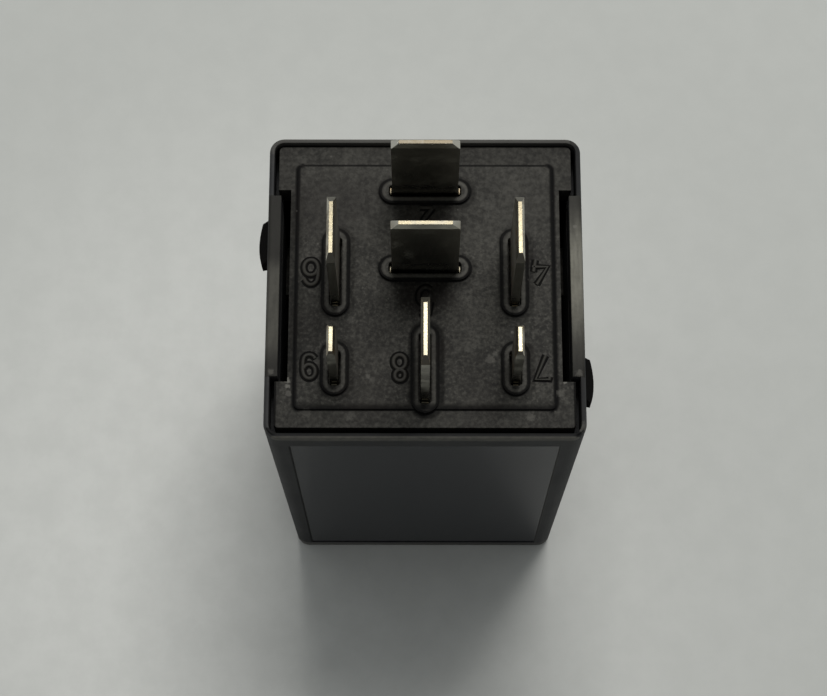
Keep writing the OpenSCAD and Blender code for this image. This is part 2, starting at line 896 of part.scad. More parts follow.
// Yoke: foot under the coil, back plate, neck up to the base plate, tab for the return spring
module yoke() {
    back = yoke_back_y + yoke_t;
    window = 3 * yoke_t;
    color("#a5a39c")
        difference() {
            union() {
                block(
                    [-magnet_w / 2, hinge_y, yoke_foot_z - yoke_t],
                    [magnet_w / 2, back, yoke_foot_z]
                );
                block(
                    [-magnet_w / 2, yoke_back_y, yoke_foot_z - yoke_t],
                    [magnet_w / 2, back, coil_z + flange_h / 2]
                );
                block([-neck_w / 2, yoke_back_y, coil_z], [neck_w / 2, back, plate_bottom]);
                block(
                    [-tenon_w / 2, yoke_back_y, plate_bottom - eps],
                    [tenon_w / 2, back, plate_bottom + tenon_h]
                );
                block(
                    [-tail_w / 2, anchor_y, tail_end],
                    [tail_w / 2, anchor_y + yoke_t, yoke_foot_z - yoke_t / 2]
                );
            }
            translate([0, 0, coil_z])
                rod_y(core_d + 2 * fit, yoke_back_y - 1, back + 1);
            translate([0, 0, spring_z])
                rod_y(hook_hole, anchor_y - 1, anchor_y + yoke_t + 1);
            block(
                [-tail_w / 2, anchor_y - window, yoke_foot_z - yoke_t - 1],
                [tail_w / 2, anchor_y, yoke_foot_z + 1]
            );
        }
}

// Shunt: resistance strip from the far blade's tail to the neck of the yoke
module shunt_strip() {
    t = 0.56 * blade_t;
    bend_slope = t / 2;
    from_y = far_y + blade_t / 2;
    top = plate_bottom - 1.4 * wing_h;
    bend_1 = plate_bottom - far_tail_drop;
    bend_2 = bend_1 - 0.4 * far_tail_drop;
    bottom = bend_2 - 0.64 * far_tail_drop;
    color("#8f8672")
        translate([-shunt_w / 2, 0, 0])
            rotate([90, 0, 90])
                linear_extrude(shunt_w)
                    polygon([
                        [from_y, top], [from_y + t, top], [from_y + t, bend_1],
                        [yoke_back_y, bend_2], [yoke_back_y, bottom],
                        [yoke_back_y - t, bottom], [yoke_back_y - t, bend_2 - bend_slope],
                        [from_y, bend_1 - bend_slope]
                    ]);
}

// Pin from the bobbin's flange through the circuit board
module coil_pin(side) {
    color("#c8c4b8")
        translate([side * coil_pin_x, 0, coil_pin_z])
            rod_y(coil_pin_d, board_front, winding_y - pin_seat);
}

module coil_pin_left() {
    coil_pin(-1);
}

module coil_pin_right() {
    coil_pin(1);
}

// ---------- Moving parts ----------

rivet_zs = [hinge_z + 0.36 * magnet_w, armature_top - 0.28 * magnet_w];

// Armature: hinged plate with a tail for the return spring
module armature() {
    color("#9d9b95")
        difference() {
            union() {
                block(
                    [-magnet_w / 2, leaf_back_y, hinge_z - yoke_t],
                    [magnet_w / 2, armature_back_y, armature_top]
                );
                block(
                    [-tail_w / 2, leaf_back_y, tail_end],
                    [tail_w / 2, armature_back_y, hinge_z]
                );
            }
            for (z = rivet_zs)
                translate([0, 0, z])
                    rod_y(rivet_d + 2 * fit, leaf_back_y - 1, armature_back_y + 1);
            translate([0, 0, spring_z])
                rod_y(hook_hole, leaf_back_y - 1, armature_back_y + 1);
        }
}

// Contact spring: leaf riveted to the armature, narrowing towards the contact
module contact_spring() {
    root_w = magnet_w - 3.6;
    end_w = 4.4;
    foot = hinge_z + 1.6;
    waist_0 = armature_top - 1.6;
    waist_1 = armature_top + 2.4;
    color("#b07a45")
        difference() {
            translate([0, leaf_back_y, 0])
                rotate([90, 0, 0])
                    linear_extrude(leaf_t) {
                        polygon([
                            [-root_w / 2, foot], [root_w / 2, foot],
                            [root_w / 2, waist_0], [end_w / 2, waist_1],
                            [end_w / 2, contact_z], [-end_w / 2, contact_z],
                            [-end_w / 2, waist_1], [-root_w / 2, waist_0]
                        ]);
                        translate([0, contact_z])
                            circle(end_w / 2);
                    }
            for (z = concat(rivet_zs, [contact_z]))
                translate([0, 0, z])
                    rod_y(rivet_d + 2 * fit, leaf_back_y - 1, leaf_back_y + 1);
        }
}

// Two rivets that hold the leaf to the armature
module spring_rivets() {
    front = leaf_back_y - leaf_t;
    color("#8e8b84")
        for (z = rivet_zs)
            translate([0, 0, z]) {
                rod_y(rivet_head, front - rivet_h, front);
                rod_y(rivet_d, front - rivet_h, armature_back_y);
            }
}

// Contact rivet through the leaf
module moving_contact() {
    color("#d6d3cb")
        translate([0, 0, contact_z]) {
            rod_y(contact_d, leaf_back_y, leaf_back_y + contact_t);
            rod_y(rivet_d, leaf_back_y - leaf_t - contact_rim, leaf_back_y + contact_t);
            rod_y(rivet_d + 2 * contact_rim, leaf_back_y - leaf_t - contact_rim, leaf_back_y - leaf_t);
        }
}

// Contact rivet through the tail of the middle blade
module fixed_contact() {
    blade_front = middle_y - blade_t / 2;
    blade_back = middle_y + blade_t / 2;
    color("#d6d3cb")
        translate([0, 0, contact_z]) {
            rod_y(contact_d + fixed_extra, blade_front - contact_t, blade_front);
            rod_y(rivet_d, blade_front - contact_t, blade_back + fixed_rim);
            rod_y(rivet_d + 2 * fixed_rim, blade_back, blade_back + fixed_rim);
        }
}

// Ring of points round the helix of the return spring at turn angle a
coil_r = (spring_d - spring_wire) / 2;
coil_pitch = spring_wire * 1.55;
coil_start = armature_back_y + 2.75 * spring_wire;
hook_past = 1.5 * spring_wire;
hook_len = 2.75 * spring_wire;
wire_sides = 8;
steps = 20;
rings = spring_turns * steps;
function helix_point(i, k) =
    let (
        a = 90 + 360 * i / steps,
        b = 360 * k / wire_sides,
        r = coil_r + spring_wire / 2 * cos(b)
    )
    [r * cos(a), coil_start + coil_pitch * i / steps + spring_wire / 2 * sin(b), r * sin(a)];

// Return spring: close helix with a hook through the armature's tail and one through the yoke's tab
module return_spring() {
    coil_end = coil_start + coil_pitch * spring_turns;
    hook_front = leaf_back_y - hook_past;
    hook_rear = anchor_y + yoke_t + hook_past;
    color("#8d8f92")
        translate([0, 0, spring_z]) {
            polyhedron(
                points = [for (i = [0:rings], k = [0:wire_sides - 1]) helix_point(i, k)],
                faces = concat(
                    [[for (k = [0:wire_sides - 1]) k]],
                    [for (i = [0:rings - 1], k = [0:wire_sides - 1])
                        let (a = i * wire_sides, b = a + wire_sides, n = (k + 1) % wire_sides)
                            [a + k, b + k, b + n, a + n]],
                    [[for (k = [wire_sides - 1:-1:0]) rings * wire_sides + k]]
                ),
                convexity = 10
            );
            for (end = [[coil_start, hook_front], [coil_end, hook_rear]]) {
                translate([0, end[0], 0])
                    cylinder(d = spring_wire, h = coil_r);
                translate([0, end[0], 0])
                    sphere(d = spring_wire);
                rod_y(spring_wire, min(end[0], end[1]), max(end[0], end[1]));
                translate([0, end[1], 0])
                    sphere(d = spring_wire);
                translate([0, end[1], -hook_len])
                    cylinder(d = spring_wire, h = hook_len);
            }
        }
}

cover();
base_plate();
terminal_2();
terminal_4();
terminal_5();
terminal_6();
terminal_7();
terminal_8();
terminal_9();
circuit_board();
control_chip();
timing_capacitor();
film_capacitor();
resistor_1();
resistor_2();
resistor_3();
diode();
driver_transistor();
bobbin();
coil_winding();
core();
yoke();
shunt_strip();
coil_pin_left();
coil_pin_right();
armature();
contact_spring();
spring_rivets();
moving_contact();
fixed_contact();
return_spring();
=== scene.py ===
import math

import bpy
from mathutils import Matrix, Vector


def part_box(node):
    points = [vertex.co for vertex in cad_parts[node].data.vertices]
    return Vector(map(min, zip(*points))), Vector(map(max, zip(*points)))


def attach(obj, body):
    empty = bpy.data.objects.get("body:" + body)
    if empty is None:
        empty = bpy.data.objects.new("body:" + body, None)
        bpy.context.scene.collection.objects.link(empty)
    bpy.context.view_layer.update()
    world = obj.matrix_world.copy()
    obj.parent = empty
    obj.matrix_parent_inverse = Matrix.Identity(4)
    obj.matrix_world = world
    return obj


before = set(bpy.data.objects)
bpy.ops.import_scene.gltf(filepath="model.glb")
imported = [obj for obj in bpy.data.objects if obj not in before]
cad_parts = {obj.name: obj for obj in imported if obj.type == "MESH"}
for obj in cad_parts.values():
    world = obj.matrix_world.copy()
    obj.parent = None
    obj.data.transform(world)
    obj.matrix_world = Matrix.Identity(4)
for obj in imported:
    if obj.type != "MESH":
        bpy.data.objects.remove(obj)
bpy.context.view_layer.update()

# ---------------------------------------------------------------------------
# Base plate: moulded in dark glass-filled plastic, with a raised panel and a
# boss round each blade's slot. Dull, mottled by dust and scuffs, with painted
# shade and grime along the foot of the panel and the bosses, painted highlights
# on the boss rims, and painted shadows round the numbers 5 and 2.
# ---------------------------------------------------------------------------
MM = 0.001


def put(tree, kind, how=None, **inputs):
    """Adds a shader node. how sets its modes, and inputs its sockets."""
    node = tree.nodes.new("ShaderNode" + kind)
    for key, value in (how or {}).items():
        setattr(node, key, value)
    set_inputs(tree, node, inputs)
    return node


def set_inputs(tree, node, inputs):
    """Gives inputs a value or another node's output, each by its label, or by its place as i0, i1."""
    for key, value in inputs.items():
        by_place = key[0] == "i" and key[1:].isdigit()
        socket = node.inputs[int(key[1:]) if by_place else key.replace("_", " ")]
        if isinstance(value, bpy.types.NodeSocket):
            tree.links.new(value, socket)
        else:
            socket.default_value = value


def calc(tree, operation, a, b=0.0, clamp=False):
    """The result of one Math node."""
    return put(tree, "Math", {"operation": operation, "use_clamp": clamp}, i0=a, i1=b).outputs[0]


def times(tree, first, *others, clamp=False):
    """The product of masks and numbers."""
    for other in others:
        first = calc(tree, "MULTIPLY", first, other, clamp)
    return first


def most(tree, first, *others):
    """The largest of several masks."""
    for other in others:
        first = calc(tree, "MAXIMUM", first, other)
    return first


def over(tree, value, limit):
    """1 where the value is over the limit, and 0 elsewhere."""
    return calc(tree, "GREATER_THAN", value, limit)


def under(tree, value, limit):
    """1 where the value is under the limit, and 0 elsewhere."""
    return calc(tree, "LESS_THAN", value, limit)


def size_of(tree, value):
    """The value without its sign."""
    return calc(tree, "ABSOLUTE", value)


def ramp(tree, value, low, high, bottom=0.0, top=1.0):
    """A smooth step: bottom below low, top above high."""
    return put(tree, "MapRange", {"interpolation_type": "SMOOTHSTEP"}, Value=value,
               From_Min=low, From_Max=high, To_Min=bottom, To_Max=top).outputs[0]


def tint(tree, mask, below, above):
    """The colour below, covered by the one above where the mask is 1."""
    return put(tree, "Mix", {"data_type": "RGBA"}, i0=mask, i6=below, i7=above).outputs[2]


def noise(tree, place, scale, detail, roughness=0.5):
    """Fractal noise from 0 to 1."""
    return put(tree, "TexNoise", Vector=place, Scale=scale, Detail=detail, Roughness=roughness).outputs["Fac"]


def split(tree, vector):
    """The X, Y and Z of a vector."""
    return put(tree, "SeparateXYZ", Vector=vector).outputs


def vector_calc(tree, operation, a, b=(0.0, 0.0, 0.0)):
    """The outputs of one Vector Math node, Vector and Value."""
    return put(tree, "VectorMath", {"operation": operation}, i0=a, i1=b).outputs


def rgb(r, g, b):
    """A colour with full alpha."""
    return (r, g, b, 1.0)


def start_group(name, inputs, outputs):
    """A shader node group with named sockets: its tree, what comes in and what goes out."""
    tree = bpy.data.node_groups.new(name, "ShaderNodeTree")
    for label, kind, value in inputs:
        socket = tree.interface.new_socket(label, in_out="INPUT", socket_type="NodeSocket" + kind)
        if value is not None:
            socket.default_value = value
    for label, kind in outputs:
        tree.interface.new_socket(label, in_out="OUTPUT", socket_type="NodeSocket" + kind)
    return tree, tree.nodes.new("NodeGroupInput").outputs, tree.nodes.new("NodeGroupOutput").inputs


def use_group(tree, group, **inputs):
    """Places a node group in a material and sets its inputs."""
    node = tree.nodes.new("ShaderNodeGroup")
    node.node_tree = group
    set_inputs(tree, node, inputs)
    return node.outputs


def start_material(name, **settings):
    """A new material: its tree, its Principled shader with the given settings, and its Object coordinates."""
    mat = bpy.data.materials.new(name)
    mat.use_nodes = True
    tree = mat.node_tree
    shader = tree.nodes["Principled BSDF"]
    set_inputs(tree, shader, settings)
    return mat, tree, shader, tree.nodes.new("ShaderNodeTexCoord").outputs["Object"]


def rough_surface(tree, height, strength, depth, **inputs):
    """The normal of a Bump node."""
    return put(tree, "Bump", Strength=strength, Distance=depth, Height=height, **inputs).outputs["Normal"]


def dress(material, *names):
    """Gives CAD nodes their material."""
    for name in names:
        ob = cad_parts[name]
        ob.data.materials.clear()
        ob.data.materials.append(material)


# Grain of a spark-eroded mould: a fine height and a slow change of tone
mould_grain, into, out = start_group(
    "mould_grain",
    [("Position", "Vector", None), ("Grains", "Float", 8000.0), ("Clouds", "Float", 260.0)],
    [("Height", "Float"), ("Tone", "Float")],
)
mould_grain.links.new(noise(mould_grain, into["Position"], into["Grains"], 3.0, 0.6), out["Height"])
mould_grain.links.new(noise(mould_grain, into["Position"], into["Clouds"], 5.0, 0.6), out["Tone"])

# Dust on faces that look up: pale clouds broken up by fine grit, and single specks
settled_dust, into, out = start_group(
    "settled_dust",
    [("Position", "Vector", None), ("Cover", "Float", 0.5), ("Specks", "Float", 0.5)],
    [("Mask", "Float"), ("Speck", "Float")],
)
cloud = noise(settled_dust, into["Position"], 330.0, 7.0, 0.68)
grit = noise(settled_dust, into["Position"], 5200.0, 2.0, 0.7)
facing = split(settled_dust, put(settled_dust, "NewGeometry").outputs["Normal"])["Z"]
upward = ramp(settled_dust, facing, 0.3, 0.9)
patch = times(settled_dust, ramp(settled_dust, cloud, 0.44, 0.74),
              ramp(settled_dust, grit, 0.36, 0.66, 0.35, 1.0), upward)
settled_dust.links.new(times(settled_dust, patch, into["Cover"], clamp=True), out["Mask"])
cell = put(settled_dust, "TexVoronoi", {"feature": "F1"}, Vector=into["Position"], Scale=900.0)
chosen = put(settled_dust, "SeparateColor", Color=cell.outputs["Color"])
speck_size = ramp(settled_dust, chosen.outputs["Green"], 0.0, 1.0, 0.02, 0.10)
speck = times(settled_dust, under(settled_dust, cell.outputs["Distance"], speck_size),
              over(settled_dust, chosen.outputs["Red"], 0.66), upward)
settled_dust.links.new(times(settled_dust, speck, into["Specks"], clamp=True), out["Speck"])

# Edges: a rounded normal, and a mask where handling has rubbed them, broken by noise
worn_edges, into, out = start_group(
    "worn_edges",
    [("Position", "Vector", None), ("Radius", "Float", 0.0001), ("Breaks", "Float", 900.0)],
    [("Mask", "Float"), ("Normal", "Vector")],
)
rounded = put(worn_edges, "Bevel", {"samples": 6}, Radius=into["Radius"]).outputs["Normal"]
flat = put(worn_edges, "NewGeometry").outputs["True Normal"]
turned = vector_calc(worn_edges, "DOT_PRODUCT", rounded, flat)["Value"]
edge = ramp(worn_edges, calc(worn_edges, "SUBTRACT", 1.0, turned), 0.02, 0.25)
breaks = noise(worn_edges, into["Position"], into["Breaks"], 4.0, 0.65)
worn_edges.links.new(times(worn_edges, edge, ramp(worn_edges, breaks, 0.4, 0.62)), out["Mask"])
worn_edges.links.new(rounded, out["Normal"])

# Line along a rounded rectangle seen from above, and the distance out from it
plan_line, into, out = start_group(
    "plan_line",
    [("Position", "Vector", None), ("Centre", "Vector", (0.0, 0.0, 0.0)),
     ("Half", "Vector", (0.001, 0.001, 0.0)), ("Radius", "Float", 0.001), ("Width", "Float", 0.0001)],
    [("Mask", "Float"), ("Distance", "Float")],
)
away = vector_calc(plan_line, "SUBTRACT", into["Position"], into["Centre"])["Vector"]
away = vector_calc(plan_line, "ABSOLUTE", away)["Vector"]
past = split(plan_line, vector_calc(plan_line, "SUBTRACT", away, into["Half"])["Vector"])
past_x = calc(plan_line, "ADD", past["X"], into["Radius"])
past_y = calc(plan_line, "ADD", past["Y"], into["Radius"])
corner = put(plan_line, "CombineXYZ", X=most(plan_line, past_x, 0.0), Y=most(plan_line, past_y, 0.0))
corner = vector_calc(plan_line, "LENGTH", corner.outputs["Vector"])["Value"]
inner = calc(plan_line, "MINIMUM", most(plan_line, past_x, past_y), 0.0)
distance = calc(plan_line, "SUBTRACT", calc(plan_line, "ADD", corner, inner), into["Radius"])
closeness = calc(plan_line, "DIVIDE", size_of(plan_line, distance), into["Width"])
plan_line.links.new(ramp(plan_line, closeness, 0.35, 1.0, 1.0, 0.0), out["Mask"])
plan_line.links.new(distance, out["Distance"])

# A scuff, a stain, a cloud of dust or a painted shadow with a ragged outline, at one place
ragged_mark, into, out = start_group(
    "ragged_mark",
    [("Position", "Vector", None), ("Centre", "Vector", (0.0, 0.0, 0.0)), ("Radius", "Float", 0.0004)],
    [("Mask", "Float")],
)
away = vector_calc(ragged_mark, "DISTANCE", into["Position"], into["Centre"])["Value"]
outline = calc(ragged_mark, "SUBTRACT", noise(ragged_mark, into["Position"], 3400.0, 4.0, 0.7), 0.5)
reach = calc(ragged_mark, "ADD", calc(ragged_mark, "DIVIDE", away, into["Radius"]),
             times(ragged_mark, outline, 2.4))
ragged_mark.links.new(ramp(ragged_mark, reach, 0.45, 1.05, 1.0, 0.0), out["Mask"])


def add_marks(tree, place, colour, mark_colour, marks):
    """The colour with marks on it, each given as x, y, z, radius in mm and its strength."""
    for x, y, z, radius, strength in marks:
        centre = (x * MM, y * MM, z * MM)
        mark = use_group(tree, ragged_mark, Position=place, Centre=centre, Radius=radius * MM)
        colour = tint(tree, times(tree, mark["Mask"], strength), colour, mark_colour)
    return colour


base_grey = rgb(0.0125, 0.0117, 0.0098)
base_pale = rgb(0.0235, 0.0222, 0.0187)
glass_fleck = rgb(0.058, 0.056, 0.049)
resin_fleck = rgb(0.005, 0.005, 0.005)
grit_dark = rgb(0.007, 0.007, 0.006)
dust_and_highlight_colour = rgb(0.080, 0.077, 0.067)
stain_and_shadow_brown = rgb(0.006, 0.0042, 0.0034)
shade_and_grime_colour = rgb(0.0025, 0.0025, 0.0026)
chip_colour = rgb(0.14, 0.135, 0.12)
plastic_ior = 1.45
base_specular = 0.16
grain_depth = 0.035 * MM
panel_half = 12.23 * MM
panel_radius = 0.5 * MM
panel_shift = 0.1 * MM
panel_line = 0.21 * MM
boss_radius = 1.22 * MM
boss_line = 0.29 * MM
halo_radius = 1.33 * MM
halo_line = 0.5 * MM
blade_places = {  # blade: its middle, then its boss's half sizes along X and Y, in mm
    "2": (0.0, 9.58, 4.35, 1.25), "5": (0.0, 1.76, 4.35, 1.25),
    "6": (-8.48, 1.34, 1.25, 4.35), "4": (8.48, 1.34, 1.25, 4.35), "8": (0.0, -8.2, 1.25, 4.35),
    "7": (8.48, -8.2, 1.25, 2.60), "9": (-8.48, -8.2, 1.25, 2.60),
}
turned_blades = "25"  # these stand across the relay, and the others along it
plate_marks = [
    (-6.97, -12.75, 49.5, 0.50, 0.22), (9.84, -12.75, 49.5, 0.55, 0.24), (-11.1, -12.4, 49.5, 0.55, 0.16),
    (-5.35, -8.95, 49.7, 0.30, 0.45), (-4.9, -9.3, 49.7, 0.40, 0.22), (6.09, -7.30, 49.7, 0.50, 0.34),
    (6.6, -6.7, 49.7, 0.35, 0.28), (-12.86, -9.30, 49.5, 0.34, 0.85), (-12.80, -9.85, 49.4, 0.30, 0.75),
    (-12.75, -10.6, 49.5, 0.30, 0.3), (13.07, -9.45, 49.5, 0.26, 0.8), (12.6, -10.5, 49.5, 0.45, 0.25),
    (8.2, -4.6, 49.7, 0.16, 0.5), (-6.9, -3.4, 49.7, 0.5, 0.16), (4.2, -6.2, 49.7, 0.6, 0.12),
    (-3.9, -6.9, 49.7, 0.5, 0.14), (2.6, 4.6, 49.7, 0.9, 0.08), (6.2, 8.2, 49.7, 0.8, 0.10),
    (-6.0, 6.6, 49.7, 0.9, 0.10), (-11.9, 12.9, 49.5, 0.6, 0.12),
]
# Painted shadows of blades 5 and 2 round the numbers 5 and 2
number_shadows = [
    (-1.2, -1.0, 49.7, 1.8, 0.62), (1.4, -1.0, 49.7, 1.7, 0.62), (0.0, -1.9, 49.7, 1.6, 0.55),
    (-1.3, 6.8, 49.7, 1.7, 0.45), (1.2, 6.7, 49.7, 1.6, 0.45),
]
# Stains on the plate, with the painted shadows round the numbers
plate_stains_and_shadows = number_shadows + [
    (9.9, 2.8, 49.7, 1.2, 0.35), (9.6, -6.3, 49.7, 0.9, 0.35), (1.5, -6.6, 49.7, 1.3, 0.30),
    (-9.5, 8.0, 49.7, 5.0, 0.30), (-10.5, -3.6, 49.7, 3.2, 0.22), (-5.5, -11.0, 49.7, 3.4, 0.30),
    (5.5, -11.0, 49.7, 3.2, 0.22), (-5.4, -6.0, 49.7, 2.8, 0.20), (-6.0, 9.5, 49.7, 3.2, 0.15),
    (4.6, -8.0, 49.7, 2.2, 0.15),
]
plate_clouds = [
    (4.4, -3.6, 49.7, 3.6, 0.24), (-4.6, 0.2, 49.7, 2.8, 0.10), (5.2, 3.6, 49.7, 3.0, 0.16),
    (-3.4, -3.4, 49.7, 1.6, 0.12),
]

base_plastic, tree, shader, place = start_material("base_plastic", IOR=plastic_ior,
                                                   Specular_IOR_Level=base_specular)
spot = split(tree, place)
side_x = size_of(tree, spot["X"])
side_y = size_of(tree, spot["Y"])
grain = use_group(tree, mould_grain, Position=place, Grains=7000.0, Clouds=210.0)
fleck = noise(tree, place, 2300.0, 3.0, 0.62)
grit = noise(tree, place, 2900.0, 2.0, 0.6)
dust = use_group(tree, settled_dust, Position=place, Cover=0.42, Specks=0.55)
edges = use_group(tree, worn_edges, Position=place, Radius=0.09 * MM, Breaks=700.0)
ring = use_group(tree, plan_line, Position=place, Centre=(0.0, panel_shift, 0.0),
                 Half=(panel_half, panel_half, 0.0), Radius=panel_radius, Width=panel_line)

# Painted shade, with some grime, along the panel's foot: wider on the flanks and inside the near side, thin
# over the far edge; a broad painted shade on the left flank, and along the plate's side edges at the near
# corners
line_away = size_of(tree, ring["Distance"])
near_side = ramp(tree, spot["Y"], -11.9 * MM, -11.2 * MM, 1.0, 0.0)
near_fade = times(tree, ramp(tree, ring["Distance"], -0.85 * MM, -0.05 * MM),
                  under(tree, ring["Distance"], 0.0))
flank = ramp(tree, side_x, 11.4 * MM, 11.9 * MM)
left_flank = times(tree, ramp(tree, spot["X"], -12.5 * MM, -10.9 * MM, 1.0, 0.0),
                   ramp(tree, side_y, 8.2 * MM, 11.0 * MM, 1.0, 0.0))
plate_edge = times(tree, ramp(tree, side_x, 13.82 * MM, 13.95 * MM),
                   ramp(tree, spot["Y"], -9.6 * MM, -9.0 * MM, 1.0, 0.0))
far_edge = times(tree, ramp(tree, ring["Distance"], 0.0, 0.5 * MM),
                 ramp(tree, spot["Y"], 8.0 * MM, 11.0 * MM, 0.0, 0.13))
shade_and_grime = most(
    tree,
    times(tree, ring["Mask"], 0.86),
    times(tree, near_fade, near_side, 0.82),
    times(tree, flank, ramp(tree, line_away, 0.10 * MM, 0.40 * MM, 0.97, 0.0)),
    times(tree, left_flank, ramp(tree, line_away, 0.05 * MM, 1.3 * MM, 0.58, 0.24)),
    times(tree, plate_edge, 0.9),
    far_edge,
)

# Painted shade with grime round each boss's foot, and a soft painted shadow halo set off to the near right,
# strongest at blade 8; a painted highlight along the top of its rim, strongest at blades 2 and 5
rim_highlights = 0.0
for blade, (x, y, half_x, half_y) in blade_places.items():
    foot = use_group(tree, plan_line, Position=place, Radius=boss_radius, Width=boss_line,
                     Centre=(x * MM, y * MM, 0.0),
                     Half=((half_x - 0.03) * MM, (half_y - 0.03) * MM, 0.0))
    halo = use_group(tree, plan_line, Position=place, Radius=halo_radius, Width=halo_line,
                     Centre=((x + 0.14) * MM, (y - 0.08) * MM, 0.0),
                     Half=((half_x + 0.10) * MM, (half_y + 0.08) * MM, 0.0))
    shade_and_grime = most(tree, shade_and_grime, times(tree, foot["Mask"], 0.92),
                 times(tree, halo["Mask"], 0.66 if blade == "8" else 0.34))
    rim = times(tree, ramp(tree, foot["Distance"], -0.62 * MM, -0.40 * MM),
                ramp(tree, foot["Distance"], -0.32 * MM, -0.14 * MM, 1.0, 0.0),
                1.0 if blade in turned_blades else 0.55)
    rim_highlights = most(tree, rim_highlights, rim)

# Flecks, dust and grit in the plastic's grey; painted shade over the near part of the plate; then rubbed
# edges, painted highlights on the boss rims, painted shade with grime, chips, and stains with the painted
# shadows by the numbers
gritty = times(tree, ramp(tree, spot["Y"], 2.0 * MM, 8.0 * MM, 1.0, 0.15),
               ramp(tree, spot["Y"], -11.8 * MM, -11.2 * MM, 0.45, 1.0))
colour = tint(tree, ramp(tree, grain["Tone"], 0.32, 0.7), base_grey, base_pale)
colour = tint(tree, ramp(tree, fleck, 0.38, 0.72, 0.0, 0.55), colour, glass_fleck)
colour = tint(tree, ramp(tree, fleck, 0.24, 0.45, 0.62, 0.0), colour, resin_fleck)
colour = tint(tree, dust["Mask"], colour, dust_and_highlight_colour)
colour = add_marks(tree, place, colour, dust_and_highlight_colour, plate_clouds)
colour = tint(tree, times(tree, gritty, ramp(tree, grit, 0.30, 0.52, 0.62, 0.0)), colour, grit_dark)
colour = tint(tree, times(tree, gritty, ramp(tree, grit, 0.52, 0.70, 0.0, 0.50)), colour, dust_and_highlight_colour)
# Painted shade: darker over the near part of the plate
colour = tint(tree, ramp(tree, spot["Y"], -1.0 * MM, 4.0 * MM, 0.12, 0.0), colour, shade_and_grime_colour)
colour = tint(tree, times(tree, edges["Mask"], 0.30), colour, dust_and_highlight_colour)
# Painted highlight along the top of the boss rims
colour = tint(tree, times(tree, rim_highlights, 0.52), colour, dust_and_highlight_colour)
# Painted shade with grime along the feet of the panel and the bosses
colour = tint(tree, shade_and_grime, colour, shade_and_grime_colour)
colour = tint(tree, times(tree, dust["Speck"], 0.5), colour, chip_colour)
colour = add_marks(tree, place, colour, chip_colour, plate_marks)
# Stains, and painted shadows of the blades round the numbers 5 and 2
colour = add_marks(tree, place, colour, stain_and_shadow_brown, plate_stains_and_shadows)
set_inputs(tree, shader, {
    "Base_Color": colour,
    "Roughness": calc(tree, "ADD", 0.60, times(tree, shade_and_grime, 0.3)),
    "Normal": rough_surface(tree, grain["Height"], 0.55, grain_depth, Normal=edges["Normal"]),
})
dress(base_plastic, "base_plate")

# ---------------------------------------------------------------------------
# Terminal numbers: rounded strokes raised on the base plate in one piece with
# it, upside down as seen from the printed side, with a thin dark sheet along each
# foot that is painted shade with grime, and their sides painted dark as shade.
# ---------------------------------------------------------------------------
stroke_half = 0.20 * MM
stroke_rise = 0.15 * MM
foot_half = 0.37 * MM
foot_rise = 0.012 * MM
boss_rise = 0.25 * MM
panel_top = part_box("base_plate")[1].z - boss_rise
smooth_below = math.radians(40)
shade_and_grime_pale = rgb(0.007, 0.0068, 0.0062)
number_places = {  # middle of each number, in mm
    "2": (0.15, 6.70), "5": (-0.03, -1.42), "6": (-10.87, 1.50), "4": (10.91, 1.53),
    "9": (-10.90, -7.90), "8": (-2.38, -7.99), "7": (10.91, -8.04),
}
number_strokes = {  # each stroke: closed or not, rounded or sharp at its points, then the points in mm
    "2": [
        (False, True, [(-0.60, 0.80), (-0.42, 1.18), (0.02, 1.34), (0.46, 1.14), (0.58, 0.66), (0.30, 0.06),
                       (-0.58, -1.20)]),
        (False, False, [(-0.60, -1.24), (0.64, -1.24)]),
    ],
    "5": [
        (False, False, [(0.56, 1.30), (-0.46, 1.30), (-0.56, 0.20)]),
        (False, True, [(-0.56, 0.18), (-0.12, 0.42), (0.38, 0.24), (0.58, -0.36), (0.36, -1.02),
                       (-0.12, -1.26), (-0.60, -1.02)]),
    ],
    "6": [
        (False, True, [(0.60, 0.82), (0.32, 1.24), (-0.06, 1.40), (-0.48, 1.20), (-0.68, 0.72),
                       (-0.72, 0.0), (-0.66, -0.56), (-0.40, -0.96), (-0.04, -1.08), (0.36, -0.94),
                       (0.60, -0.52), (0.60, -0.10), (0.40, 0.28), (-0.02, 0.44), (-0.44, 0.28),
                       (-0.66, -0.10)]),
    ],
    "9": [
        (False, True, [(0.46, 0.30), (0.26, 0.02), (-0.10, -0.08), (-0.48, 0.14), (-0.64, 0.60),
                       (-0.50, 1.06), (-0.10, 1.28), (0.30, 1.10), (0.50, 0.66), (0.52, 0.0),
                       (0.50, -0.50), (0.34, -0.90), (-0.04, -1.04), (-0.40, -0.94), (-0.62, -0.66)]),
    ],
    "8": [
        (True, True, [(-0.05, 1.38), (0.32, 1.22), (0.44, 0.86), (0.28, 0.48), (-0.05, 0.34), (-0.38, 0.48),
                      (-0.52, 0.86), (-0.40, 1.22)]),
        (True, True, [(0.0, 0.26), (0.40, 0.06), (0.58, -0.42), (0.42, -0.92), (0.0, -1.12), (-0.42, -0.92),
                      (-0.58, -0.42), (-0.40, 0.06)]),
    ],
    "7": [(False, False, [(-0.72, 0.96), (-0.70, 1.24), (0.60, 1.24), (-0.40, -1.14)])],
    "4": [
        (False, False, [(0.34, 1.40), (-0.74, -0.38), (0.74, -0.38)]),
        (False, False, [(0.62, 0.12), (0.40, -1.10)]),
    ],
}


def clear_selection():
    """Leaves nothing selected."""
    bpy.ops.object.select_all(action="DESELECT")


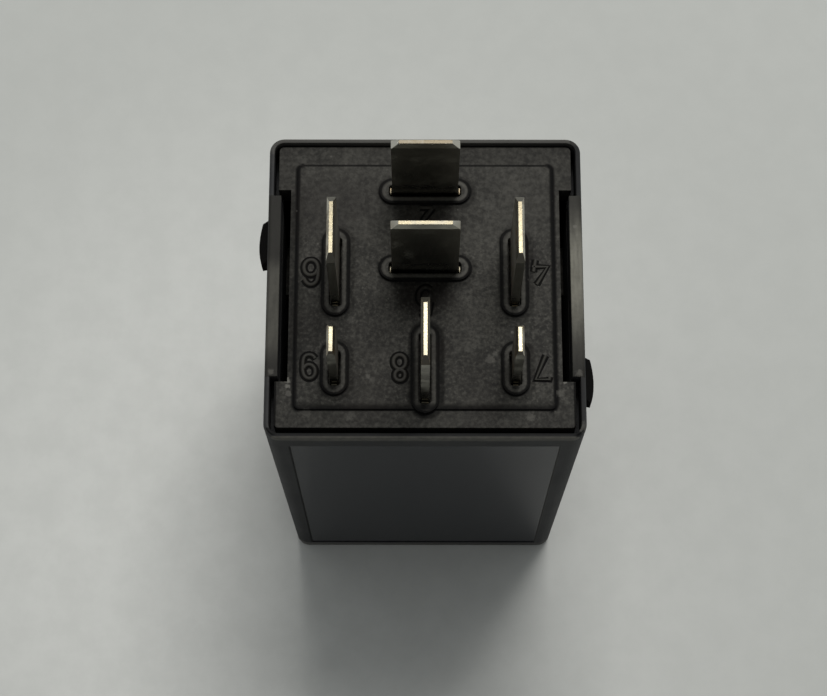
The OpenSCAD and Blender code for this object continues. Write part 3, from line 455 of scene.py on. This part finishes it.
def draw_strokes(strokes, half_width, height):
    """Flattened round strokes along a number's lines, as one mesh round the origin."""
    clear_selection()
    bpy.ops.curve.primitive_bezier_curve_add(location=(0, 0, 0))
    ob = bpy.context.object
    ob.data.splines.clear()
    for closed, smooth, points in strokes:
        spline = ob.data.splines.new("BEZIER")
        spline.bezier_points.add(len(points) - 1)
        spline.use_cyclic_u = closed
        for knot, (x, y) in zip(spline.bezier_points, points):
            knot.co = (x * MM, y * MM, 0.0)
            knot.handle_left_type = knot.handle_right_type = "AUTO" if smooth else "VECTOR"
    ob.data.dimensions = "3D"
    ob.data.resolution_u = 6
    ob.data.bevel_depth = half_width
    ob.data.bevel_resolution = 3
    ob.data.use_fill_caps = True
    bpy.ops.object.convert(target="MESH")
    ob = bpy.context.object
    for vertex in ob.data.vertices:
        vertex.co.z *= height / half_width
    return ob


number_plastic, tree, shader, place = start_material("number_plastic", IOR=plastic_ior,
                                                     Specular_IOR_Level=base_specular)
grain = use_group(tree, mould_grain, Position=place, Grains=7000.0, Clouds=210.0)
# Dust on the strokes' tops, painted shade on their sides, and the blades' painted shadows over 5 and 2
upward = split(tree, put(tree, "NewGeometry").outputs["Normal"])["Z"]
colour = tint(tree, ramp(tree, grain["Tone"], 0.35, 0.7), base_grey, base_pale)
colour = tint(tree, ramp(tree, upward, 0.55, 0.96, 0.0, 0.16), colour, dust_and_highlight_colour)
colour = tint(tree, ramp(tree, upward, 0.35, 0.85, 0.95, 0.0), colour, shade_and_grime_colour)
set_inputs(tree, shader, {
    "Base_Color": add_marks(tree, place, colour, stain_and_shadow_brown, number_shadows),
    "Roughness": ramp(tree, grain["Tone"], 0.3, 0.7, 0.5, 0.66),
    "Normal": rough_surface(tree, grain["Height"], 0.5, 0.03 * MM),
})

# The thin dark sheet round each number's foot: painted shade, with grime
shade_and_grime, tree, shader, place = start_material("shade_and_grime", IOR=1.4, Specular_IOR_Level=0.08)
grain = use_group(tree, mould_grain, Position=place, Grains=9000.0, Clouds=900.0)
set_inputs(tree, shader, {
    "Base_Color": tint(tree, ramp(tree, grain["Tone"], 0.3, 0.75), shade_and_grime_colour, shade_and_grime_pale),
    "Roughness": ramp(tree, grain["Tone"], 0.3, 0.7, 0.7, 0.9),
    "Normal": rough_surface(tree, grain["Height"], 0.4, 0.02 * MM),
})

for character, (x, y) in number_places.items():
    body = draw_strokes(number_strokes[character], stroke_half, stroke_rise)
    body.data.materials.append(number_plastic)
    rim = draw_strokes(number_strokes[character], foot_half, foot_rise)
    rim.data.materials.append(shade_and_grime)
    clear_selection()
    rim.select_set(True)
    body.select_set(True)
    bpy.context.view_layer.objects.active = body
    bpy.ops.object.join()
    body.name = "number_" + character
    body.rotation_euler = (0, 0, math.pi)
    body.location = (x * MM, y * MM, panel_top)
    bpy.ops.object.transform_apply(location=True, rotation=True, scale=False)
    bpy.ops.object.shade_smooth_by_angle(angle=smooth_below)
    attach(body, "housing")

# ---------------------------------------------------------------------------
# Terminals: blades stamped from brass strip and tin plated. The rolled faces
# are dull and dark, with fine lines along the blade; the sheared ends and tip
# chamfers carry a painted reflection of the lamp, and faces and chamfers are
# painted lighter or darker by the way they face.
# ---------------------------------------------------------------------------
blade_lines, into, out = start_group(
    "blade_lines",
    [("Position", "Vector", None)],
    [("Height", "Float"), ("Stain", "Float")],
)
drawn = put(blade_lines, "Mapping", Vector=into["Position"], Scale=(1.0, 1.0, 0.06)).outputs[0]
blade_lines.links.new(noise(blade_lines, drawn, 6500.0, 3.0, 0.6), out["Height"])
stain = noise(blade_lines, into["Position"], 420.0, 6.0, 0.62)
blade_lines.links.new(ramp(blade_lines, stain, 0.45, 0.72), out["Stain"])

tin_lamp_reflection = rgb(0.340, 0.302, 0.206)
tin_painted_shade = rgb(0.057, 0.049, 0.035)
tin_tarnish = rgb(0.25, 0.233, 0.19)
tin_clean = rgb(0.50, 0.475, 0.41)
tin_reflection_grey = rgb(0.38, 0.37, 0.32)
tin_painted_highlight = rgb(0.66, 0.645, 0.575)
tin_brown = rgb(0.16, 0.105, 0.05)
blade_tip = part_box("terminal_2")[1].z
clean_from = blade_tip - 3.8 * MM
tarnish_top = blade_tip - 9.8 * MM
tinned_brass, tree, shader, place = start_material("tinned_brass", Metallic=1.0)
marks = use_group(tree, blade_lines, Position=place)
edges = use_group(tree, worn_edges, Position=place, Radius=0.06 * MM)
spot = split(tree, place)
side = split(tree, put(tree, "NewGeometry").outputs["True Normal"])

# Faces clean up towards the tip; those facing near and far are painted greyer, as a painted reflection
colour = tint(tree, ramp(tree, spot["Z"], tarnish_top, clean_from), tin_tarnish, tin_clean)
colour = tint(tree, marks["Stain"], colour, tin_brown)
colour = tint(tree, ramp(tree, size_of(tree, side["Y"]), 0.5, 0.9), colour, tin_reflection_grey)

# Chamfers at the tip: a painted highlight on those facing the sides, painted shade on those facing near and
# far
chamfer = ramp(tree, side["Z"], 0.4, 0.6)
highlit_chamfer = times(tree, chamfer, ramp(tree, side["Y"], -0.65, -0.35, 0.15, 1.0))
near_chamfer = times(tree, chamfer, ramp(tree, side["Y"], -0.65, -0.35, 1.0, 0.0))
far_chamfer = times(tree, chamfer, ramp(tree, side["Y"], 0.35, 0.65))
colour = tint(tree, times(tree, highlit_chamfer, 0.8), colour, tin_painted_highlight)
colour = tint(tree, times(tree, near_chamfer, 0.75), colour, tin_painted_shade)
colour = tint(tree, times(tree, far_chamfer, 0.80), colour, tin_painted_shade)

# Sheared ends: a painted reflection of the lamp, bright on the near blades and darker on the far ones
tip = tint(tree, ramp(tree, spot["Y"], -9.0 * MM, 9.0 * MM), tin_lamp_reflection, tin_painted_shade)
tip = tint(tree, ramp(tree, marks["Height"], 0.44, 0.62, 0.0, 0.45), tip, tin_painted_shade)
sheared = times(tree, ramp(tree, side["Z"], 0.86, 0.97), ramp(tree, marks["Stain"], 0.0, 1.0, 1.0, 0.8))
roughness = ramp(tree, spot["Z"], 50.2 * MM, 53.0 * MM, 0.15, 0.30)
set_inputs(tree, shader, {
    "Base_Color": tint(tree, sheared, colour, tip),
    "Roughness": calc(tree, "ADD", roughness, times(tree, marks["Stain"], 0.2)),
    "Normal": rough_surface(tree, marks["Height"], 0.4, 0.014 * MM, Normal=edges["Normal"]),
})
dress(tinned_brass, *("terminal_" + blade for blade in blade_places), "coil_pin_left", "coil_pin_right")

# ---------------------------------------------------------------------------
# Stakes: small burrs of brass raised beside the blades' edges in the mouths of
# the slots, where a punch has spread the metal to lock each blade.
# ---------------------------------------------------------------------------
stake_half = 0.10 * MM
stake_low = 48.95 * MM
stake_round = 0.06 * MM
stake_dull = rgb(0.11, 0.10, 0.075)
stake_places = {  # x and y of its middle, half its width along the blade's thickness, and its top, in mm
    "2_left": (-3.29, 9.58, 0.34, 49.86), "2_right": (3.29, 9.58, 0.34, 49.86),
    "5_left": (-3.29, 1.76, 0.34, 49.38), "5_right": (3.29, 1.76, 0.34, 49.44),
    "6": (-8.48, -1.95, 0.30, 49.74), "4": (8.48, -1.95, 0.30, 49.64), "8": (0.0, -11.5, 0.34, 49.76),
    "9": (-8.48, -9.74, 0.28, 49.66), "7": (8.48, -9.74, 0.28, 49.58),
}

stake_brass, tree, shader, place = start_material("stake_brass", Metallic=1.0)
marks = use_group(tree, blade_lines, Position=place)
set_inputs(tree, shader, {
    "Base_Color": tint(tree, marks["Stain"], stake_dull, tin_brown),
    "Roughness": ramp(tree, marks["Stain"], 0.0, 1.0, 0.35, 0.5),
    "Normal": rough_surface(tree, marks["Height"], 0.5, 0.02 * MM),
})

for name, (x, y, half, top) in stake_places.items():
    width_x, width_y = 2 * half * MM, 2 * stake_half
    if name[0] in turned_blades:
        width_x, width_y = width_y, width_x
    clear_selection()
    bpy.ops.mesh.primitive_cube_add(size=1.0, location=(x * MM, y * MM, (top * MM + stake_low) / 2))
    stake = bpy.context.object
    stake.scale = (width_x, width_y, top * MM - stake_low)
    bpy.ops.object.transform_apply(location=True, rotation=False, scale=True)
    bpy.ops.object.mode_set(mode="EDIT")
    bpy.ops.mesh.select_all(action="SELECT")
    bpy.ops.mesh.bevel(offset=stake_round, segments=3, affect="EDGES")
    bpy.ops.object.mode_set(mode="OBJECT")
    bpy.ops.object.shade_smooth_by_angle(angle=smooth_below)
    stake.name = "stake_" + name
    stake.data.materials.append(stake_brass)
    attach(stake, "housing")

# ---------------------------------------------------------------------------
# Circuit board and its parts: glass laminate under solder mask, with the chip,
# the two capacitors, three resistors, the diode and the transistor on its front.
# ---------------------------------------------------------------------------
board_laminate, tree, shader, place = start_material("board_laminate", Roughness=0.4, Coat_Weight=0.2)
grain = use_group(tree, mould_grain, Position=place, Grains=3500.0, Clouds=500.0)
set_inputs(tree, shader, {
    "Base_Color": tint(tree, grain["Tone"], rgb(0.03, 0.12, 0.05), rgb(0.05, 0.17, 0.07)),
    "Normal": rough_surface(tree, grain["Height"], 0.2, 0.02 * MM),
})
dress(board_laminate, "circuit_board")


def part_finish(name, dark, light, roughness, grains, strength, **settings):
    """A moulded, lacquered or rolled finish: two close colours in slow clouds, and a fine grain."""
    mat, tree, shader, place = start_material(name, **settings)
    grain = use_group(tree, mould_grain, Position=place, Grains=grains, Clouds=600.0)
    set_inputs(tree, shader, {
        "Base_Color": tint(tree, ramp(tree, grain["Tone"], 0.3, 0.7), dark, light),
        "Roughness": ramp(tree, grain["Tone"], 0.25, 0.75, roughness - 0.06, roughness + 0.08),
        "Normal": rough_surface(tree, grain["Height"], strength, 0.02 * MM),
    })
    return mat


dress(part_finish("chip_epoxy", rgb(0.012, 0.012, 0.013), rgb(0.022, 0.022, 0.023), 0.6, 9000.0, 0.4),
      "control_chip", "driver_transistor")
dress(part_finish("capacitor_sleeve", rgb(0.012, 0.025, 0.08), rgb(0.018, 0.034, 0.1), 0.3, 2500.0, 0.1,
                  Coat_Weight=0.4), "timing_capacitor")
dress(part_finish("film_epoxy", rgb(0.28, 0.04, 0.02), rgb(0.36, 0.06, 0.035), 0.32, 2500.0, 0.2,
                  Coat_Weight=0.5), "film_capacitor")
dress(part_finish("resistor_lacquer", rgb(0.52, 0.38, 0.2), rgb(0.6, 0.46, 0.27), 0.35, 4000.0, 0.15,
                  Coat_Weight=0.3), "resistor_1", "resistor_2", "resistor_3")
dress(part_finish("diode_body", rgb(0.012, 0.012, 0.012), rgb(0.02, 0.02, 0.02), 0.35, 6000.0, 0.2), "diode")

# ---------------------------------------------------------------------------
# Magnet: bobbin in pale glass-filled plastic with its enamelled winding, core,
# yoke and armature in soft iron, the contact leaf with its contacts, the
# return spring, and the resistance strip from the far blade to the yoke.
# ---------------------------------------------------------------------------
dress(part_finish("bobbin_plastic", rgb(0.55, 0.5, 0.38), rgb(0.66, 0.61, 0.48), 0.5, 7000.0, 0.3), "bobbin")
dress(part_finish("soft_iron", rgb(0.38, 0.38, 0.36), rgb(0.52, 0.52, 0.5), 0.38, 8000.0, 0.25, Metallic=1.0),
      "core", "yoke", "armature", "spring_rivets")
dress(part_finish("shunt_alloy", rgb(0.32, 0.28, 0.2), rgb(0.44, 0.4, 0.31), 0.4, 6000.0, 0.2, Metallic=1.0),
      "shunt_strip")
dress(part_finish("spring_bronze", rgb(0.5, 0.29, 0.12), rgb(0.62, 0.38, 0.18), 0.3, 6000.0, 0.15,
                  Metallic=1.0), "contact_spring")
dress(part_finish("contact_silver", rgb(0.68, 0.67, 0.63), rgb(0.82, 0.81, 0.78), 0.25, 6000.0, 0.15,
                  Metallic=1.0), "moving_contact", "fixed_contact")
dress(part_finish("spring_steel", rgb(0.32, 0.33, 0.34), rgb(0.44, 0.45, 0.46), 0.3, 9000.0, 0.15,
                  Metallic=1.0), "return_spring")

enamelled_wire, tree, shader, place = start_material("enamelled_wire", Metallic=0.6, Coat_Weight=0.5)
turns = put(tree, "TexWave", {"wave_type": "BANDS", "bands_direction": "Y"}, Vector=place, Scale=1250.0,
            Distortion=0.4, Detail=1.0).outputs["Fac"]
slow = noise(tree, place, 500.0, 3.0)
set_inputs(tree, shader, {
    "Base_Color": tint(tree, slow, rgb(0.3, 0.09, 0.03), rgb(0.5, 0.17, 0.06)),
    "Roughness": ramp(tree, slow, 0.3, 0.7, 0.25, 0.4),
    "Normal": rough_surface(tree, turns, 0.8, 0.05 * MM),
})
dress(enamelled_wire, "coil_winding")

# ---------------------------------------------------------------------------
# Cover: moulded cup in dark grey plastic with a spark-eroded grain, and a
# smoother, slightly shiny field sunk into the printed side. Its rim and the
# strips in the middle of the side walls are rubbed paler by handling. The rim's
# lips, the field's steps, the frame below it and the lugs are painted lighter or
# darker as painted light and shade.
# ---------------------------------------------------------------------------
cover_grey = rgb(0.0310, 0.0317, 0.0330)
cover_pale = rgb(0.0435, 0.0440, 0.0450)
cover_fleck = rgb(0.045, 0.045, 0.044)
field_black = rgb(0.0095, 0.0103, 0.0135)
strip_dark = rgb(0.0200, 0.0195, 0.0180)
strip_left = rgb(0.073, 0.071, 0.062)
strip_right = rgb(0.158, 0.154, 0.131)
frame_light_left = rgb(0.115, 0.113, 0.107)
frame_light_right = rgb(0.080, 0.079, 0.075)
wear_and_highlight_grey = rgb(0.108, 0.104, 0.092)
wear_and_light_grey = rgb(0.085, 0.081, 0.071)
lug_shade_black = rgb(0.0022, 0.0020, 0.0019)
cover_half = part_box("cover")[1].y  # it is square, and its lugs stand out along X
rim_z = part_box("cover")[1].z
field_half = cover_half - 2.3 * MM
field_low = 2.2 * MM
field_high = rim_z - 3.1 * MM
step_line = (0.07 * MM, 0.20 * MM)
front_y = 1.0 * MM - cover_half
brow_y = 0.2 * MM - cover_half
brow_low = rim_z - 1.25 * MM
brow_high = rim_z - 0.75 * MM
brow_wave = 0.9 * MM
near_lip_z = rim_z - 0.1 * MM
near_lip_y = (0.14 * MM - cover_half, 0.38 * MM - cover_half)
far_lip_y = cover_half - 0.7 * MM
far_lip_z = (rim_z - 1.0 * MM, rim_z - 0.4 * MM)
right_lip_x = cover_half - 1.0 * MM
strip_x = cover_half - 1.3 * MM
strip_z = rim_z - 0.2 * MM
strip_half = 9.1 * MM
lug_x = cover_half + 0.04 * MM
cover_marks = [
    (-14.95, -14.9, 49.9, 0.30, 0.9), (15.0, 4.2, 49.2, 0.25, 0.5), (14.6, -13.9, 49.9, 0.6, 0.3),
    (-14.6, 13.9, 49.9, 0.6, 0.25), (14.3, 5.9, 50.0, 0.22, 0.55), (14.3, 3.6, 50.0, 0.25, 0.5),
    (-14.4, -8.6, 50.0, 0.35, 0.35), (14.4, -8.7, 50.0, 0.4, 0.35),
]

cover_plastic, tree, shader, place = start_material("cover_plastic", IOR=plastic_ior, Specular_IOR_Level=0.08,
                                                    Coat_Roughness=0.08, Coat_IOR=plastic_ior)
spot = split(tree, place)
side_x = size_of(tree, spot["X"])
grain = use_group(tree, mould_grain, Position=place, Grains=6500.0, Clouds=170.0)
fleck = noise(tree, place, 2100.0, 3.0, 0.62)
dust = use_group(tree, settled_dust, Position=place, Cover=0.35)
edges = use_group(tree, worn_edges, Position=place, Radius=0.16 * MM, Breaks=520.0)

# The sunk field; painted shade on the step at its left side and a painted highlight on the step at its right;
# the frame below it, painted lighter as painted light, more on the left
front = under(tree, spot["Y"], front_y)
upright = times(tree, over(tree, spot["Z"], field_low), under(tree, spot["Z"], field_high))
field = times(tree, under(tree, side_x, field_half), upright, front)
from_left = size_of(tree, calc(tree, "ADD", spot["X"], field_half))
from_right = size_of(tree, calc(tree, "SUBTRACT", spot["X"], field_half))
step_left = times(tree, ramp(tree, from_left, *step_line, 1.0, 0.0), upright, front)
step_right = times(tree, ramp(tree, from_right, *step_line, 1.0, 0.0), upright, front)
low_frame = times(tree, ramp(tree, spot["Z"], 1.85 * MM, field_low, 1.0, 0.0), front)
frame_light = tint(tree, ramp(tree, spot["X"], -10.0 * MM, 10.0 * MM), frame_light_left, frame_light_right)

# The rim: a wavy brow under its near edge, rubbed and a painted highlight; painted shade on the near lip,
# painted light on the far lip, and the right lip darker towards its inner edge
wave = calc(tree, "SUBTRACT", noise(tree, place, 180.0, 3.0, 0.6), 0.5)
brow = ramp(tree, calc(tree, "ADD", spot["Z"], times(tree, wave, brow_wave)), brow_low, brow_high)
brow = times(tree, brow, front, under(tree, spot["Y"], brow_y))
near_lip = times(tree, over(tree, spot["Z"], near_lip_z), front, ramp(tree, spot["Y"], *near_lip_y))
far_lip = times(tree, over(tree, spot["Y"], far_lip_y), ramp(tree, spot["Z"], *far_lip_z))

# The side strips: scraped along their length, each over its own part
strip = times(tree, over(tree, spot["Z"], strip_z), under(tree, size_of(tree, spot["Y"]), strip_half),
              over(tree, side_x, strip_x))
right_lip = times(tree, over(tree, spot["X"], right_lip_x), over(tree, spot["Z"], strip_z),
                  calc(tree, "SUBTRACT", 1.0, strip))
right_lip = times(tree, right_lip, ramp(tree, spot["X"], 14.6 * MM, 14.95 * MM, 0.55, 0.2))
along = put(tree, "Mapping", Vector=place, Scale=(1.0, 0.16, 0.16)).outputs[0]
scrape = ramp(tree, noise(tree, along, 2600.0, 3.0), 0.3, 0.7, 0.72, 1.12)
rubbed_left = times(tree, ramp(tree, spot["Y"], 0.8 * MM, 3.2 * MM, 0.80, 0.1),
                    ramp(tree, spot["Y"], -8.2 * MM, -5.4 * MM, 0.1, 1.0))
rubbed_right = times(tree, ramp(tree, spot["Y"], 2.5 * MM, 8.6 * MM, 1.0, 0.1),
                     ramp(tree, spot["Y"], -9.5 * MM, 1.5 * MM))
rubbed = calc(tree, "ADD", times(tree, rubbed_left, under(tree, spot["X"], 0.0)),
              times(tree, rubbed_right, over(tree, spot["X"], 0.0)))
broken = calc(tree, "ADD", scrape, times(tree, calc(tree, "SUBTRACT", fleck, 0.5), 0.6))
rubbed = times(tree, rubbed, broken, clamp=True)
strip_colour = tint(tree, over(tree, spot["X"], 0.0), strip_left, strip_right)
# The lugs: painted near black as painted shade, and rougher
lug = over(tree, side_x, lug_x)

colour = tint(tree, ramp(tree, grain["Tone"], 0.35, 0.7), cover_grey, cover_pale)
colour = tint(tree, ramp(tree, fleck, 0.35, 0.75, 0.0, 0.32), colour, cover_fleck)
colour = tint(tree, field, colour, field_black)
# Painted light: the frame below the field painted lighter, more on the left
colour = tint(tree, times(tree, low_frame, 0.9), colour, frame_light)
# Painted light on the far lip
colour = tint(tree, times(tree, far_lip, 0.45), colour, wear_and_light_grey)
# Painted shade on the left step and a painted highlight on the right one
colour = tint(tree, times(tree, step_left, 0.8), colour, shade_and_grime_colour)
colour = tint(tree, times(tree, step_right, 0.25), colour, wear_and_light_grey)
colour = tint(tree, dust["Mask"], colour, dust_and_highlight_colour)
colour = tint(tree, strip, colour, strip_dark)
colour = tint(tree, times(tree, strip, rubbed), colour, strip_colour)
# The brow: rubbed, and a painted highlight
colour = tint(tree, times(tree, brow, ramp(tree, fleck, 0.3, 0.7, 0.65, 1.0)), colour, wear_and_highlight_grey)
colour = tint(tree, times(tree, edges["Mask"], 0.30), colour, wear_and_light_grey)
# Painted shade on the near lip; the right lip darker towards its inner edge
colour = tint(tree, times(tree, near_lip, 0.85), colour, shade_and_grime_colour)
colour = tint(tree, right_lip, colour, shade_and_grime_colour)
colour = add_marks(tree, place, colour, chip_colour, cover_marks)
# Lugs painted near black as painted shade
colour = tint(tree, lug, colour, lug_shade_black)
roughness = calc(tree, "SUBTRACT", 0.62, times(tree, field, 0.12))
height = times(tree, grain["Height"], calc(tree, "SUBTRACT", 1.0, times(tree, field, 0.7)))
set_inputs(tree, shader, {
    "Base_Color": colour,
    "Roughness": calc(tree, "ADD", roughness, times(tree, lug, 0.38)),
    "Coat_Weight": times(tree, field, 0.35),
    "Normal": rough_surface(tree, height, 0.6, grain_depth, Normal=edges["Normal"]),
})
dress(cover_plastic, "cover")

# ---------------------------------------------------------------------------
# Table, lamp and camera: a pale matt top, painted lighter on the left and round
# the relay and darker further out as painted light; one broad lamp above and
# behind the relay, and a room that is darker on the near side.
# ---------------------------------------------------------------------------
floor_light_left = rgb(0.592, 0.600, 0.580)
floor_light_right = rgb(0.440, 0.450, 0.434)
floor_shade_far = rgb(0.425, 0.436, 0.418)
paint_patch = rgb(0.36, 0.37, 0.355)
lamp_place = Vector((0.094, 0.385, 0.785))
lamp_target = Vector((0.0, 0.0, 0.02))
camera_place = Vector((-0.752, -63.668, 231.590)) * MM
camera_tilt = 0.306150  # this and the next two in radians
camera_yaw = 0.005695
camera_roll = -0.004191
camera_lens = 88.49618  # this and the next in mm, as the camera takes them
sensor_width = 36.0
table_size = 1.6
lamp_size = (0.42, 0.34)
lamp_power = 5.8
lamp_colour = (1.0, 0.985, 0.955)
room_colour = rgb(0.97, 1.0, 1.0)
room_near = 0.195
room_far = 0.52

clear_selection()
bpy.ops.mesh.primitive_plane_add(size=table_size, location=(0, 0, 0))
table = bpy.context.object
table.name = "table_top"
table_paint, tree, shader, place = start_material("table_paint", Roughness=0.75)
# Painted light: lighter on the left and round a spot by the relay, darker further out; then faint patches
away = vector_calc(tree, "DISTANCE", place, (-0.008, -0.014, 0.0))["Value"]
paint = tint(tree, ramp(tree, split(tree, place)["X"], -0.085, 0.085), floor_light_left, floor_light_right)
paint = tint(tree, ramp(tree, away, 0.018, 0.075), paint, floor_shade_far)
paint = tint(tree, ramp(tree, noise(tree, place, 260.0, 5.0, 0.65), 0.3, 0.7, 0.0, 0.2), paint, paint_patch)
set_inputs(tree, shader, {
    "Base_Color": paint,
    "Normal": rough_surface(tree, noise(tree, place, 2200.0, 2.0), 0.08, 0.02 * MM),
})
table.data.materials.append(table_paint)

lamp_data = bpy.data.lights.new("ceiling_lamp", "AREA")
lamp_data.shape = "RECTANGLE"
lamp_data.size, lamp_data.size_y = lamp_size
lamp_data.energy = lamp_power
lamp_data.color = lamp_colour
lamp = bpy.data.objects.new("ceiling_lamp", lamp_data)
bpy.context.scene.collection.objects.link(lamp)
lamp.location = lamp_place
lamp.rotation_euler = (lamp_target - lamp_place).to_track_quat("-Z", "Y").to_euler()

room = bpy.data.worlds.new("room")
bpy.context.scene.world = room
room.use_nodes = True
tree = room.node_tree
direction = split(tree, tree.nodes.new("ShaderNodeTexCoord").outputs["Generated"])
set_inputs(tree, tree.nodes["Background"], {
    "Color": room_colour,
    "Strength": ramp(tree, direction["Y"], -0.75, 0.6, room_near, room_far),
})

yaw = Matrix.Rotation(camera_yaw, 3, "Z")
forward = yaw @ Vector((0, math.sin(camera_tilt), -math.cos(camera_tilt)))
level = yaw @ Vector((1, 0, 0))
above = yaw @ Vector((0, math.cos(camera_tilt), math.sin(camera_tilt)))
right = math.cos(camera_roll) * level + math.sin(camera_roll) * above
up = math.cos(camera_roll) * above - math.sin(camera_roll) * level
camera_data = bpy.data.cameras.new("camera")
camera_data.sensor_width = sensor_width
camera_data.lens = camera_lens
camera_data.clip_start = 0.01
camera = bpy.data.objects.new("camera", camera_data)
bpy.context.scene.collection.objects.link(camera)
camera.matrix_world = Matrix.Translation(camera_place) @ Matrix((right, up, -forward)).transposed().to_4x4()
bpy.context.scene.camera = camera
bpy.context.scene.view_settings.view_transform = "Standard"
